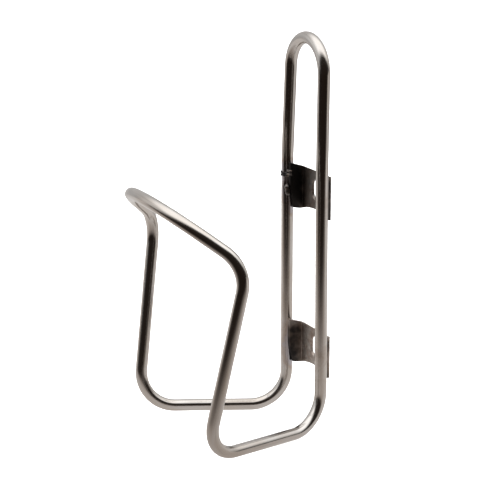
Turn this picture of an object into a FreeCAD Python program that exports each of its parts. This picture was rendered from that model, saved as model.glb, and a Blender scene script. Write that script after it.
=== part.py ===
import FreeCAD, Part
import math
import os

import Sketcher
from FreeCAD import Placement, Rotation, Vector

# A bent-tube water bottle cage for a bicycle frame. Millimetres.
#
# Part frame: the origin is the centre of the two mounting slots on the plane
# where both brackets meet the bicycle frame. +Y points at the bicycle frame,
# -Y at the bottle, +Z up the bottle, +X to the side. The cage is the same on
# both sides of the plane X = 0, apart from its butt joint and one weld bead,
# which are on the -X upright.

DRIVING_DIMENSIONS = [
    # Stock
    ("tube_diameter", 4.76, "outside diameter of the tube, three sixteenths of an inch"),
    ("tube_wall", 0.5, "wall of the tube"),
    ("sheet_thickness", 1.2, "sheet that the brackets are bent from"),
    # Corners of the tube's centreline, +X side, and the bend made at each
    ("crown_x", 12.1, "upper loop, half the width between corners"),
    ("crown_y", -4.9, "upper loop, distance from the mounting plane"),
    ("crown_z", 91.1, "upper loop, height of the centreline"),
    ("waist_x", 13.25, "slight bend above the upper bracket"),
    ("waist_y", -6.15, "slight bend above the upper bracket"),
    ("waist_z", 43.0, "slight bend above the upper bracket"),
    ("waist_bend", 60.0, "bend radius of the slight bend"),
    ("heel_x", 13.7, "rear bottom corner"),
    ("heel_y", -6.15, "rear bottom corner"),
    ("heel_z", -60.0, "rear bottom corner"),
    ("heel_bend", 13.9, "bend radius of the rear bottom corner"),
    ("toe_x", 30.0, "front bottom corner"),
    ("toe_y", -64.5, "front bottom corner"),
    ("toe_z", -55.45, "front bottom corner"),
    ("toe_bend", 14.0, "bend radius of the front bottom corner"),
    ("shoulder_x", 39.1, "corner between the front arm and the hoop"),
    ("shoulder_y", -51.5, "corner between the front arm and the hoop"),
    ("shoulder_z", 18.65, "corner between the front arm and the hoop"),
    ("shoulder_bend", 14.4, "bend radius of that corner"),
    ("hoop_reach", 44.5, "shoulder to the point where the hoop's two sides would meet, along -Y"),
    ("hoop_slope", 40.5, "angle of the hoop's plane above the horizontal, degrees"),
    ("hoop_bend", 35.7, "bend radius of the hoop's front"),
    # Butt joint where the two ends of the tube meet
    ("joint_z", 36.5, "height of the butt joint"),
    ("joint_gap", 0.3, "root gap between the tube's two ends"),
    ("joint_bead", 0.75, "radius of the ring weld's section"),
    # Brackets
    ("slot_pitch", 64.0, "between the two slot centres, the standard mounting spacing"),
    ("slot_width", 5.6, "clears an M5 bolt"),
    ("slot_length", 8.4, "end to end"),
    ("upper_half_width", 10.86, "upper bracket, centre to the outer face of its side"),
    ("lower_half_width", 11.13, "lower bracket, centre to the outer face of its side"),
    ("bracket_depth", 6.9, "mounting face to the free edge of the sides"),
    ("bracket_above", 9.4, "slot centre to the top of the sides' free edge"),
    ("bracket_below", 10.4, "slot centre to the bottom of the sheet"),
    ("plate_above", 7.1, "slot centre to the top of the plate"),
    ("plate_below", 7.75, "slot centre to the bottom of the plate on its centre line"),
    ("scallop_radius", 31.0, "hollow bottom edge of the bracket"),
    ("outer_bend", 1.5, "outside radius of the bracket's two bends"),
    ("side_below_back", 9.8, "slot centre to the bottom of the sides at the mounting face"),
    ("side_below_front", 8.2, "slot centre to the bottom of the sides at their free edge"),
    ("corner_rise", 9.8, "slanted lower corner of the sides, its height"),
    ("corner_run", 2.0, "slanted lower corner of the sides, its depth"),
    # Weld beads
    ("fillet_radius", 0.95, "long bead behind each side of a bracket"),
    ("fillet_length", 13.0, "long bead behind each side of a bracket"),
    ("fillet_drop", 2.2, "slot centre down to the middle of the long bead"),
    ("fillet_inset", 0.5, "long bead, from the bracket's side towards the tube"),
    ("fillet_back", 2.0, "long bead, from the tube's centre towards the bicycle frame"),
    ("bead_length", 5.2, "short bead, end to end"),
    ("bead_radius", 1.15, "short bead"),
    ("bead_forward", 1.3, "short bead, from the tube's centre towards the bottle"),
    ("bead_inset", 0.05, "short bead, from the bracket's outer face towards its middle"),
    ("bead_z", 30.2, "short bead, height of its middle"),
]


def make_sheet(doc):
    sheet = doc.addObject("Spreadsheet::Sheet", "dims")
    for row, (alias, value, note) in enumerate(DRIVING_DIMENSIONS, start=1):
        sheet.set("A%d" % row, alias)
        sheet.set("B%d" % row, str(value))
        sheet.set("C%d" % row, note)
        sheet.setAlias("B%d" % row, alias)
    doc.recompute()
    return sheet


# ---------------------------------------------------------------- tube path

def rounded_route(points, bends):
    """Return the edges of a route of straight runs joined by tangent arcs."""
    edges = []
    start = points[0]
    for before, corner, after, radius in zip(points, points[1:], points[2:], bends):
        into = (corner - before).normalize()
        out = (after - corner).normalize()
        turn = into.getAngle(out)
        reach = radius * math.tan(turn / 2)
        arc_start = corner - into * reach
        arc_end = corner + out * reach
        inward = (out - into).normalize()
        middle = corner + inward * (radius / math.cos(turn / 2) - radius)
        if start.distanceToPoint(arc_start) > 0.01:
            edges.append(Part.LineSegment(start, arc_start).toShape())
        edges.append(Part.Arc(arc_start, middle, arc_end).toShape())
        start = arc_end
    edges.append(Part.LineSegment(start, points[-1]).toShape())
    return edges


def mirrored(point):
    return Vector(-point.x, point.y, point.z)


def upright_x(sheet, height):
    """Half the spacing of the uprights at a height between heel and waist."""
    share = (height - sheet.heel_z) / (sheet.waist_z - sheet.heel_z)
    return sheet.heel_x + share * (sheet.waist_x - sheet.heel_x)


def upright_point(sheet, height):
    return Vector(upright_x(sheet, height), sheet.waist_y, height)


def tube_route(sheet):
    crown = Vector(sheet.crown_x, sheet.crown_y, sheet.crown_z)
    waist = Vector(sheet.waist_x, sheet.waist_y, sheet.waist_z)
    heel = Vector(sheet.heel_x, sheet.heel_y, sheet.heel_z)
    toe = Vector(sheet.toe_x, sheet.toe_y, sheet.toe_z)
    shoulder = Vector(sheet.shoulder_x, sheet.shoulder_y, sheet.shoulder_z)
    hoop_climb = sheet.hoop_reach * math.tan(math.radians(sheet.hoop_slope))
    hoop_tip = Vector(0, shoulder.y - sheet.hoop_reach, shoulder.z + hoop_climb)

    # The upper loop is one half turn, so its two corners share the whole width.
    crown_turn = Vector(1, 0, 0).getAngle(waist - crown)
    crown_bend = sheet.crown_x / math.tan(crown_turn / 2)

    half_gap = sheet.joint_gap / 2
    upper_end = mirrored(upright_point(sheet, sheet.joint_z + half_gap))
    lower_end = mirrored(upright_point(sheet, sheet.joint_z - half_gap))
    points = [
        upper_end,
        mirrored(waist), mirrored(crown), crown, waist,
        heel, toe, shoulder, hoop_tip,
        mirrored(shoulder), mirrored(toe), mirrored(heel),
        lower_end,
    ]
    bends = [
        sheet.waist_bend, crown_bend, crown_bend, sheet.waist_bend,
        sheet.heel_bend, sheet.toe_bend, sheet.shoulder_bend, sheet.hoop_bend,
        sheet.shoulder_bend, sheet.toe_bend, sheet.heel_bend,
    ]
    return rounded_route(points, bends)


def make_tube(doc, sheet):
    route = doc.addObject("Part::Feature", "tube_centreline")
    route.Shape = Part.Wire(tube_route(sheet))
    every_edge = ["Edge%d" % number for number in range(1, len(route.Shape.Edges) + 1)]

    def swept_round(name, radius):
        section = doc.addObject("Part::Circle", name + "_section")
        section.setExpression("Radius", radius)
        section.AttachmentSupport = [(route, "Edge1")]
        section.MapMode = "NormalToEdge"
        section.MapPathParameter = 0
        sweep = doc.addObject("Part::Sweep", name)
        sweep.Sections = [section]
        sweep.Spine = (route, every_edge)
        sweep.Solid = True
        sweep.Frenet = False
        return sweep

    outside = swept_round("tube_outside", "dims.tube_diameter / 2")
    inside = swept_round("tube_inside", "dims.tube_diameter / 2 - dims.tube_wall")
    tube = doc.addObject("Part::Cut", "tube_frame")
    tube.Base = outside
    tube.Tool = inside
    tube.Label = "tube_frame"
    return route, outside, tube


# ----------------------------------------------------------------- brackets

def origin_plane(body, role):
    for feature in body.Origin.OriginFeatures:
        if feature.Role == role:
            return feature
    raise RuntimeError("no origin plane " + role)


def new_sketch(body, name, role):
    sketch = body.newObject("Sketcher::SketchObject", name)
    sketch.AttachmentSupport = (origin_plane(body, role), [""])
    sketch.MapMode = "FlatFace"
    return sketch


def add_loop(sketch, corners):
    """Draw a closed loop of lines through the corners and join its ends."""
    lines = []
    for here, there in zip(corners, corners[1:] + corners[:1]):
        segment = Part.LineSegment(Vector(here[0], here[1], 0), Vector(there[0], there[1], 0))
        lines.append(sketch.addGeometry(segment, False))
    for here, there in zip(lines, lines[1:] + lines[:1]):
        sketch.addConstraint(Sketcher.Constraint("Coincident", here, 2, there, 1))
    return lines


def drive(sketch, kind, geometry, name, value, expression):
    """Add a named dimension and bind it to the sheet."""
    index = sketch.addConstraint(Sketcher.Constraint(kind, *geometry, value))
    sketch.renameConstraint(index, name)
    sketch.setExpression("Constraints." + name, expression)


def centred_rectangle(sketch, half_width, near, far, names):
    """A rectangle centred on the sketch's vertical axis, between two heights below it."""
    corners = [(-half_width[0], near[0]), (half_width[0], near[0]),
               (half_width[0], far[0]), (-half_width[0], far[0])]
    top, right, bottom, left = add_loop(sketch, corners)
    sketch.addConstraint(Sketcher.Constraint("Horizontal", bottom))
    for line in (right, left):
        sketch.addConstraint(Sketcher.Constraint("Vertical", line))
    sketch.addConstraint(Sketcher.Constraint("Symmetric", top, 1, top, 2, -2))
    drive(sketch, "DistanceX", (top, 1, top, 2), names + "_width", 2 * half_width[0], half_width[1])
    if near[1] is None:
        sketch.addConstraint(Sketcher.Constraint("PointOnObject", top, 1, -1))
    else:
        drive(sketch, "DistanceY", (top, 1, -1, 1), names + "_near", -near[0], near[1])
    drive(sketch, "DistanceY", (bottom, 1, -1, 1), names + "_far", -far[0], far[1])


def vertical_edges_at(shape, height_y):
    """Names of the upright edges whose middle lies at the given Y."""
    names = []
    for number, edge in enumerate(shape.Edges, start=1):
        box = edge.BoundBox
        is_upright = box.XLength < 1e-6 and box.YLength < 1e-6
        if is_upright and abs(box.YMin - height_y) < 1e-4:
            names.append("Edge%d" % number)
    return names


def cut_by(body, doc, feature, before):
    """Recompute and make sure that the feature really took material away."""
    doc.recompute()
    after = body.Shape.Volume
    if after >= before - 1e-3:
        raise RuntimeError(feature.Name + " cut nothing")
    return after


def make_bracket(doc, sheet, label, half_width_alias, centre_z):
    """A U-shaped sheet bracket: a slotted plate with both sides bent forwards."""
    half_width = getattr(sheet, half_width_alias)
    thickness = sheet.sheet_thickness
    depth = sheet.bracket_depth
    body = doc.addObject("PartDesign::Body", label)
    body.Label = label

    # Blank: a block as wide and deep as the bent sheet.
    blank = new_sketch(body, label + "_blank", "XY_Plane")
    centred_rectangle(blank, (half_width, "2 * dims." + half_width_alias),
                      (0.0, None), (-depth, "dims.bracket_depth"), "blank")
    pad = body.newObject("PartDesign::Pad", label + "_pad")
    pad.Profile = blank
    pad.SideType = "Two sides"
    pad.setExpression("Length", "dims.bracket_above")
    pad.setExpression("Length2", "dims.bracket_below")
    doc.recompute()

    outer = body.newObject("PartDesign::Fillet", label + "_outer_bends")
    outer.Base = (pad, vertical_edges_at(pad.Shape, 0.0))
    outer.setExpression("Radius", "dims.outer_bend")
    doc.recompute()
    volume = body.Shape.Volume

    # Hollow, which leaves the plate and the two sides.
    hollow = new_sketch(body, label + "_hollow", "XY_Plane")
    centred_rectangle(
        hollow,
        (half_width - thickness, "2 * (dims.%s - dims.sheet_thickness)" % half_width_alias),
        (-thickness, "dims.sheet_thickness"),
        (-depth - 1.0, "dims.bracket_depth + 1"), "hollow")
    inside = body.newObject("PartDesign::Pocket", label + "_inside")
    inside.Profile = hollow
    inside.Type = "ThroughAll"
    inside.SideType = "Symmetric"
    volume = cut_by(body, doc, inside, volume)

    inner = body.newObject("PartDesign::Fillet", label + "_inner_bends")
    inner.Base = (inside, vertical_edges_at(inside.Shape, -thickness))
    inner.setExpression("Radius", "dims.outer_bend - dims.sheet_thickness")
    doc.recompute()
    volume = body.Shape.Volume

    # Slot for the bolt.
    slot = new_sketch(body, label + "_slot", "XZ_Plane")
    radius = sheet.slot_width / 2
    straight = sheet.slot_length - sheet.slot_width
    up = Vector(0, straight / 2, 0)
    down = Vector(0, -straight / 2, 0)
    normal = Vector(0, 0, 1)
    top_arc = slot.addGeometry(Part.ArcOfCircle(Part.Circle(up, normal, radius), 0, math.pi), False)
    low_arc = slot.addGeometry(
        Part.ArcOfCircle(Part.Circle(down, normal, radius), math.pi, 2 * math.pi), False)
    side = Vector(radius, 0, 0)
    left = slot.addGeometry(Part.LineSegment(up - side, down - side), False)
    right = slot.addGeometry(Part.LineSegment(down + side, up + side), False)
    for one, one_end, other, other_end in ((top_arc, 2, left, 1), (left, 2, low_arc, 1),
                                           (low_arc, 2, right, 1), (right, 2, top_arc, 1)):
        slot.addConstraint(Sketcher.Constraint("Tangent", one, one_end, other, other_end))
    slot.addConstraint(Sketcher.Constraint("Vertical", left))
    slot.addConstraint(Sketcher.Constraint("Symmetric", top_arc, 3, low_arc, 3, -1, 1))
    drive(slot, "Radius", (top_arc,), "slot_end", radius, "dims.slot_width / 2")
    drive(slot, "DistanceY", (low_arc, 3, top_arc, 3), "slot_straight", straight,
          "dims.slot_length - dims.slot_width")
    slot_cut = body.newObject("PartDesign::Pocket", label + "_slot_cut")
    slot_cut.Profile = slot
    slot_cut.Type = "ThroughAll"
    slot_cut.SideType = "Symmetric"
    volume = cut_by(body, doc, slot_cut, volume)

    # Hollow lower edge, a shallow arc.
    scallop = new_sketch(body, label + "_scallop", "XZ_Plane")
    centre_drop = sheet.plate_below + sheet.scallop_radius
    circle = scallop.addGeometry(
        Part.Circle(Vector(0, -centre_drop, 0), normal, sheet.scallop_radius), False)
    scallop.addConstraint(Sketcher.Constraint("PointOnObject", circle, 3, -2))
    drive(scallop, "Radius", (circle,), "scallop", sheet.scallop_radius, "dims.scallop_radius")
    drive(scallop, "DistanceY", (circle, 3, -1, 1), "scallop_drop", centre_drop,
          "dims.plate_below + dims.scallop_radius")
    scallop_cut = body.newObject("PartDesign::Pocket", label + "_scallop_cut")
    scallop_cut.Profile = scallop
    scallop_cut.Type = "ThroughAll"
    scallop_cut.SideType = "Symmetric"
    volume = cut_by(body, doc, scallop_cut, volume)

    # Slanted top: highest at the sides' free edges, lowest at the plate.
    slant = new_sketch(body, label + "_slant", "YZ_Plane")
    top_corners = [(0.0, sheet.plate_above), (0.0, sheet.bracket_above + 1),
                   (-depth, sheet.bracket_above + 1), (-depth, sheet.bracket_above)]
    back, cap, front, ramp = add_loop(slant, top_corners)
    slant.addConstraint(Sketcher.Constraint("Vertical", back))
    slant.addConstraint(Sketcher.Constraint("Horizontal", cap))
    slant.addConstraint(Sketcher.Constraint("Vertical", front))
    slant.addConstraint(Sketcher.Constraint("PointOnObject", back, 1, -2))
    drive(slant, "DistanceY", (-1, 1, back, 1), "plate_top", sheet.plate_above, "dims.plate_above")
    drive(slant, "DistanceY", (-1, 1, cap, 2), "cap_top", sheet.bracket_above + 1,
          "dims.bracket_above + 1")
    drive(slant, "DistanceY", (-1, 1, ramp, 1), "side_top", sheet.bracket_above, "dims.bracket_above")
    drive(slant, "DistanceX", (ramp, 1, -1, 1), "side_reach", depth, "dims.bracket_depth")
    slant_cut = body.newObject("PartDesign::Pocket", label + "_slant_cut")
    slant_cut.Profile = slant
    slant_cut.Type = "ThroughAll"
    slant_cut.SideType = "Symmetric"
    volume = cut_by(body, doc, slant_cut, volume)

    # Slanted bottom of the sides, which rises towards their free edge.
    under = new_sketch(body, label + "_under", "YZ_Plane")
    floor = -sheet.bracket_below - 1
    under_points = [(0.0, floor), (0.0, -sheet.side_below_back),
                    (-depth - 1, -sheet.side_below_front), (-depth - 1, floor)]
    rear, ramp, front, base = add_loop(under, under_points)
    under.addConstraint(Sketcher.Constraint("Vertical", rear))
    under.addConstraint(Sketcher.Constraint("Vertical", front))
    under.addConstraint(Sketcher.Constraint("Horizontal", base))
    under.addConstraint(Sketcher.Constraint("PointOnObject", rear, 1, -2))
    drive(under, "DistanceY", (ramp, 1, -1, 1), "under_back", sheet.side_below_back,
          "dims.side_below_back")
    drive(under, "DistanceY", (ramp, 2, -1, 1), "under_front", sheet.side_below_front,
          "dims.side_below_front")
    drive(under, "DistanceX", (ramp, 2, -1, 1), "under_reach", depth + 1, "dims.bracket_depth + 1")
    drive(under, "DistanceY", (base, 1, -1, 1), "under_floor", -floor, "dims.bracket_below + 1")
    under_cut = body.newObject("PartDesign::Pocket", label + "_under_cut")
    under_cut.Profile = under
    under_cut.Type = "ThroughAll"
    under_cut.SideType = "Symmetric"
    volume = cut_by(body, doc, under_cut, volume)

    # Slanted lower corner of both sides.
    corner = new_sketch(body, label + "_corner", "YZ_Plane")
    low = -sheet.bracket_below
    corner_points = [(-depth, low), (-depth + sheet.corner_run, low),
                     (-depth, low + sheet.corner_rise)]
    base, slope, upright = add_loop(corner, corner_points)
    corner.addConstraint(Sketcher.Constraint("Horizontal", base))
    corner.addConstraint(Sketcher.Constraint("Vertical", upright))
    drive(corner, "DistanceX", (base, 1, -1, 1), "corner_reach", depth, "dims.bracket_depth")
    drive(corner, "DistanceY", (base, 1, -1, 1), "corner_low", -low, "dims.bracket_below")
    drive(corner, "DistanceX", (base, 1, base, 2), "corner_run", sheet.corner_run, "dims.corner_run")
    drive(corner, "DistanceY", (upright, 2, upright, 1), "corner_rise", sheet.corner_rise,
          "dims.corner_rise")
    corner_cut = body.newObject("PartDesign::Pocket", label + "_corner_cut")
    corner_cut.Profile = corner
    corner_cut.Type = "ThroughAll"
    corner_cut.SideType = "Symmetric"
    cut_by(body, doc, corner_cut, volume)

    body.Tip = corner_cut
    body.setExpression(".Placement.Base.z", centre_z)
    doc.recompute()
    return body


# -------------------------------------------------------------------- welds

def trimmed(doc, label, blank, solids):
    """Cut the tube and the bracket out of a weld blank, so that all meet face to face."""
    piece = blank
    for number, solid in enumerate(solids, start=1):
        cut = doc.addObject("Part::Cut", "%s_trim_%d" % (label, number))
        cut.Base = piece
        cut.Tool = solid
        piece = cut
    piece.Label = label
    return piece


def make_joint_ring(doc, sheet, solids):
    ring = doc.addObject("Part::Torus", "weld_joint_blank")
    ring.setExpression("Radius1", "(dims.tube_diameter - dims.tube_wall) / 2")
    ring.setExpression("Radius2", "dims.joint_bead")
    centre = mirrored(upright_point(sheet, sheet.joint_z))
    along = (mirrored(upright_point(sheet, sheet.waist_z)) - centre).normalize()
    ring.Placement = Placement(centre, Rotation(Vector(0, 0, 1), along))
    return trimmed(doc, "weld_joint_ring", ring, solids)


def rounded_rod(doc, sheet, label, radius_alias, length_alias):
    """An upright round rod with rounded ends."""
    rod = doc.addObject("Part::Cylinder", label + "_rod")
    rod.setExpression("Radius", "dims." + radius_alias)
    rod.setExpression("Height", "dims." + length_alias)
    doc.recompute()
    rounded = doc.addObject("Part::Fillet", label + "_rounded")
    rounded.Base = rod
    end_radius = 0.85 * getattr(sheet, radius_alias)
    rounded.Edges = [(1, end_radius, end_radius), (3, end_radius, end_radius)]
    return rod, rounded


def make_long_bead(doc, sheet, label, side, half_width_alias, centre_z, solids):
    """The long bead in the groove between a bracket's side and the back of the tube."""
    rod, rounded = rounded_rod(doc, sheet, label, "fillet_radius", "fillet_length")
    rod.setExpression(".Placement.Base.x", "%d * (dims.%s + dims.fillet_inset)" % (side, half_width_alias))
    rod.setExpression(".Placement.Base.y", "dims.heel_y + dims.fillet_back")
    rod.setExpression(".Placement.Base.z", centre_z + " - dims.fillet_length / 2 - dims.fillet_drop")
    return trimmed(doc, label, rounded, solids)


def make_short_bead(doc, sheet, label, height, solids):
    """A short bead where the free edge of the upper bracket's -X side meets the tube."""
    rod, rounded = rounded_rod(doc, sheet, label, "bead_radius", "bead_length")
    rod.setExpression(".Placement.Base.x", "-(dims.upper_half_width - dims.bead_inset)")
    rod.setExpression(".Placement.Base.y", "dims.heel_y - dims.bead_forward")
    rod.setExpression(".Placement.Base.z", height + " - dims.bead_length / 2")
    return trimmed(doc, label, rounded, solids)


# --------------------------------------------------------------------- build

def fail_if_broken(doc, pieces):
    for item in doc.Objects:
        bad = [word for word in item.State if word in ("Invalid", "Error")]
        if bad:
            raise RuntimeError("%s is %s" % (item.Label, bad[0]))
    for piece in pieces:
        shape = piece.Shape
        if shape.isNull() or not shape.isValid():
            raise RuntimeError(piece.Label + " has no valid shape")
        if len(shape.Solids) != 1:
            raise RuntimeError("%s has %d solids" % (piece.Label, len(shape.Solids)))


def build():
    doc = FreeCAD.newDocument("water_bottle_cage")
    sheet = make_sheet(doc)
    route, outside, tube = make_tube(doc, sheet)
    upper = make_bracket(doc, sheet, "bracket_upper", "upper_half_width", "dims.slot_pitch / 2")
    lower = make_bracket(doc, sheet, "bracket_lower", "lower_half_width", "-dims.slot_pitch / 2")
    pieces = [tube, upper, lower]

    ring = make_joint_ring(doc, sheet, [tube, upper])
    bead = make_short_bead(doc, sheet, "weld_upper_left_front", "dims.bead_z", [outside, upper])
    pieces += [ring, bead]
    for bracket, name, width, height in (
            (upper, "upper", "upper_half_width", "dims.slot_pitch / 2"),
            (lower, "lower", "lower_half_width", "-dims.slot_pitch / 2")):
        for side, side_name in ((-1, "left"), (1, "right")):
            label = "weld_%s_%s_rear" % (name, side_name)
            pieces.append(make_long_bead(doc, sheet, label, side, width, height, [outside, bracket]))
    doc.recompute()
    fail_if_broken(doc, pieces)

    length = route.Shape.Length
    outer_radius = sheet.tube_diameter / 2
    inner_radius = outer_radius - sheet.tube_wall
    expected = math.pi * (outer_radius ** 2 - inner_radius ** 2) * length
    print("tube length %.2f mm, volume %.2f mm3, section times length %.2f mm3"
          % (length, tube.Shape.Volume, expected))
    if abs(tube.Shape.Volume - expected) > 0.005 * expected:
        raise RuntimeError("the tube's volume is not its section times its length")

    os.makedirs("parts", exist_ok=True)
    for piece in pieces:
        box = piece.Shape.BoundBox
        print("%-26s %9.2f mm3  x %7.2f %7.2f  y %7.2f %7.2f  z %7.2f %7.2f" % (
            piece.Label, piece.Shape.Volume, box.XMin, box.XMax, box.YMin, box.YMax, box.ZMin, box.ZMax))
        piece.Shape.exportStep("parts/%s.step" % piece.Label)


build()
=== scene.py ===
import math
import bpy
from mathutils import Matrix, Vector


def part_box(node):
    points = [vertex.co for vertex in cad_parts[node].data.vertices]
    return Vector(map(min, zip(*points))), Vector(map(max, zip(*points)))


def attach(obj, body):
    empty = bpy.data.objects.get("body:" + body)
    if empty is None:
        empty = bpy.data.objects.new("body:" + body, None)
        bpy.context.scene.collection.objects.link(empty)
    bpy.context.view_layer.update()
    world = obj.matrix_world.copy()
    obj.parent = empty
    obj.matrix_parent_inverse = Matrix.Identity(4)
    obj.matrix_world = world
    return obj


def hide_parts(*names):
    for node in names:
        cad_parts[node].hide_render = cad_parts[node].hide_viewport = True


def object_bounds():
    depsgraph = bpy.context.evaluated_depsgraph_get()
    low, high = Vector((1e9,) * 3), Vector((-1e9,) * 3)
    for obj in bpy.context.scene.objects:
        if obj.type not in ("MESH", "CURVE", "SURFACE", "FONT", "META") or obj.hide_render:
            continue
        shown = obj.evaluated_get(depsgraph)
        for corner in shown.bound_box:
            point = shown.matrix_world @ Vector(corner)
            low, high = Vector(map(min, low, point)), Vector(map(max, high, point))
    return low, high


bl_info = {
    "name": "Water Bottle Cage",
    "version": (1, 0, 0),
    "blender": (4, 5, 0),
    "location": "3D View > Sidebar > Bottle Cage",
    "description": "Builds a bent-tube water bottle cage with its brackets and weld beads",
    "category": "Object",
}

import bmesh
import bpy
from bpy.props import (
    FloatProperty, FloatVectorProperty, IntProperty, PointerProperty,
)
from mathutils import Matrix, Vector

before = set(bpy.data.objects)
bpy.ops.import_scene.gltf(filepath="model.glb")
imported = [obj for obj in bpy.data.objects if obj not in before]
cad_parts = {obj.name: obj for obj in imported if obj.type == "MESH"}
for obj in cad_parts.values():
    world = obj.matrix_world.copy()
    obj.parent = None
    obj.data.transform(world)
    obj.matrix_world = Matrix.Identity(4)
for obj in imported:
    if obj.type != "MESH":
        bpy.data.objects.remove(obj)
CAD_BOX = [list(corner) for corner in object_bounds()]

MM = 0.001
MILLIMETRES_PER_METRE = 1000.0

# ------------------------------------------------------------- tube corners
# Corners of the tube's centreline on the +X side, in millimetres.

CROWN = Vector((12.1, -4.9, 91.1))
WAIST = Vector((13.25, -6.15, 43.0))
HEEL = Vector((13.7, -6.15, -60.0))
TOE = Vector((30.0, -64.5, -55.45))
SHOULDER = Vector((39.1, -51.5, 18.65))


def mirrored(point):
    return Vector((-point.x, point.y, point.z))


def upright_point(height):
    """A point on the +X upright's centreline, between its heel and its waist."""
    return HEEL.lerp(WAIST, (height - HEEL.z) / (WAIST.z - HEEL.z))


# ---------------------------------------------------------------- settings

class CageTubeSettings(bpy.types.PropertyGroup):
    """Sizes of the bent tube"""
    radius: FloatProperty(
        name="Tube radius", description="Outside radius of the tube",
        default=2.375 * MM, unit="LENGTH", precision=5)
    waist_bend: FloatProperty(
        name="Waist bend", description="Bend radius above the upper bracket",
        default=60.0 * MM, unit="LENGTH")
    heel_bend: FloatProperty(
        name="Heel bend", description="Bend radius of the rear bottom corners",
        default=13.9 * MM, unit="LENGTH")
    toe_bend: FloatProperty(
        name="Toe bend", description="Bend radius of the front bottom corners",
        default=14.0 * MM, unit="LENGTH")
    shoulder_bend: FloatProperty(
        name="Shoulder bend", description="Bend radius between the arms and the hoop",
        default=14.4 * MM, unit="LENGTH")
    hoop_bend: FloatProperty(
        name="Hoop bend", description="Bend radius of the hoop's front",
        default=35.7 * MM, unit="LENGTH")
    hoop_reach: FloatProperty(
        name="Hoop reach", description="Shoulder to the point where the hoop's sides would meet",
        default=44.5 * MM, unit="LENGTH")
    hoop_slope: FloatProperty(
        name="Hoop slope", description="Angle of the hoop's plane above the horizontal",
        default=math.radians(40.5), subtype="ANGLE")
    joint_height: FloatProperty(
        name="Joint height", description="Height of the butt joint on the -X upright",
        default=36.5 * MM, unit="LENGTH")
    joint_gap: FloatProperty(
        name="Joint gap", description="Root gap between the tube's two ends",
        default=0.3 * MM, unit="LENGTH", precision=5)
    undercut: FloatProperty(
        name="Undercut", description="Share of the radius lost beside the butt weld",
        default=0.07, min=0.0, max=0.3)
    sides: IntProperty(name="Sides", description="Faces around the tube", default=40, min=12)
    arc_points: IntProperty(
        name="Arc points", description="Points on each bend of the route", default=32, min=8)
    step: FloatProperty(
        name="Step", description="Length of one face along the tube",
        default=1.1 * MM, unit="LENGTH", precision=5)


class CageBracketSettings(bpy.types.PropertyGroup):
    """Sizes of the sheet brackets"""
    edge_break: FloatProperty(
        name="Edge break", description="Width of the filed edge of the sheet",
        default=0.16 * MM, unit="LENGTH", precision=5)


class CageWeldSettings(bpy.types.PropertyGroup):
    """Sizes of the ripples on the weld beads"""
    ripple_pitch: FloatProperty(
        name="Ripple pitch", description="Distance between two ripples of a long bead",
        default=0.95 * MM, unit="LENGTH", precision=5)
    ripple_depth: FloatProperty(
        name="Ripple depth", description="Depth of a ripple as a share of the bead's radius",
        default=0.16, min=0.0, max=0.5)
    crescent: FloatProperty(
        name="Crescent", description="How far the ripples lag at the sides of a bead",
        default=0.55 * MM, unit="LENGTH", precision=5)
    sides: IntProperty(name="Sides", description="Faces around a bead", default=24, min=8)


class CageFinishSettings(bpy.types.PropertyGroup):
    """Colours and polish of the metals"""
    tube_metal: FloatVectorProperty(
        name="Tube metal", description="Bare metal of the tube", subtype="COLOR",
        default=(0.52, 0.494, 0.47), min=0.0, max=1.0)
    sheet_metal: FloatVectorProperty(
        name="Sheet metal", description="Bare metal of the brackets", subtype="COLOR",
        default=(0.50, 0.455, 0.42), min=0.0, max=1.0)
    weld_metal: FloatVectorProperty(
        name="Weld metal", description="Bare metal of the weld beads", subtype="COLOR",
        default=(0.17, 0.165, 0.158), min=0.0, max=1.0)
    straw_tint: FloatVectorProperty(
        name="Straw tint", description="Metal coloured by mild heat", subtype="COLOR",
        default=(0.25, 0.20, 0.165), min=0.0, max=1.0)
    blue_tint: FloatVectorProperty(
        name="Blue tint", description="Metal coloured by strong heat", subtype="COLOR",
        default=(0.075, 0.072, 0.076), min=0.0, max=1.0)
    tube_roughness: FloatProperty(
        name="Tube roughness", description="Roughness of the tube where it is smoothest",
        default=0.105, min=0.0, max=1.0)
    weld_roughness: FloatProperty(
        name="Weld roughness", description="Roughness of the weld beads where they are smoothest",
        default=0.27, min=0.0, max=1.0)


class CageStageSettings(bpy.types.PropertyGroup):
    """The camera, the lamp and the floor"""
    azimuth: FloatProperty(
        name="Camera azimuth", description="Direction of the camera round the cage",
        default=math.radians(62.03), subtype="ANGLE")
    elevation: FloatProperty(
        name="Camera elevation", description="Height of the camera above the horizontal",
        default=math.radians(16.48), subtype="ANGLE")
    roll: FloatProperty(
        name="Camera roll", description="Turn of the camera about its own axis",
        default=math.radians(-0.22), subtype="ANGLE")
    distance: FloatProperty(
        name="Camera distance", description="From the camera to the point that it looks at",
        default=0.61136, unit="LENGTH")
    lens: FloatProperty(
        name="Lens", description="Focal length in millimetres on a 36 mm sensor",
        default=115.756)
    target: FloatVectorProperty(
        name="Target", description="The point that the camera looks at", subtype="XYZ",
        default=(0.0, -0.02982, 0.01199), unit="LENGTH", precision=5)
    key_power: FloatProperty(
        name="Key power", description="Power of the overhead softbox, in watts", default=24.0)
    floor_colour: FloatVectorProperty(
        name="Floor colour", description="Colour of the floor", subtype="COLOR",
        default=(0.93, 0.93, 0.93), min=0.0, max=1.0)


SETTINGS = {
    "cage_tube": CageTubeSettings,
    "cage_bracket": CageBracketSettings,
    "cage_weld": CageWeldSettings,
    "cage_finish": CageFinishSettings,
    "cage_stage": CageStageSettings,
}


# ------------------------------------------------------------- node helpers

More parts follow.
